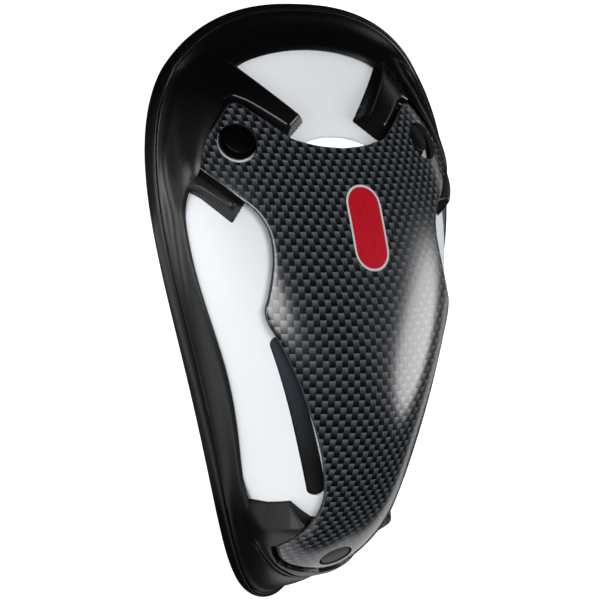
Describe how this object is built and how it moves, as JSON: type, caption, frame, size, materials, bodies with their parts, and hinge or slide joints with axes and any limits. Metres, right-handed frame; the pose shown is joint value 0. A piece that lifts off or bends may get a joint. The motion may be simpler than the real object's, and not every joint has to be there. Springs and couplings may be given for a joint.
{
  "type": "abdominal guard",
  "caption": "Egg-shaped hard cup in a rubber edge moulding, with a curved front plate standing off it on rubber pegs; shields the groin in sport.",
  "frame": {"origin": "on the surface the guard rests on, under the middle of its length and width", "axes": "+X across the guard to the wearer's left as worn, +Y towards the waist end, +Z out of the bulge"},
  "size_m": [0.1102, 0.178, 0.0527],
  "materials": {
    "shell_plastic": "smooth moulded plastic",
    "moulding_rubber": "satin moulded rubber",
    "plate_plastic": "clear-coated woven pattern",
    "peg_rubber": "satin moulded rubber",
    "strip_rubber": "satin moulded rubber"
  },
  "bodies": {
    "root": {"shell": "shell_plastic", "edge_moulding": "moulding_rubber", "front_plate": "plate_plastic", "left_peg": "peg_rubber", "right_peg": "peg_rubber", "toe_peg": "peg_rubber", "left_flex_strip": "strip_rubber", "right_flex_strip": "strip_rubber"}
  },
  "joints": []
}
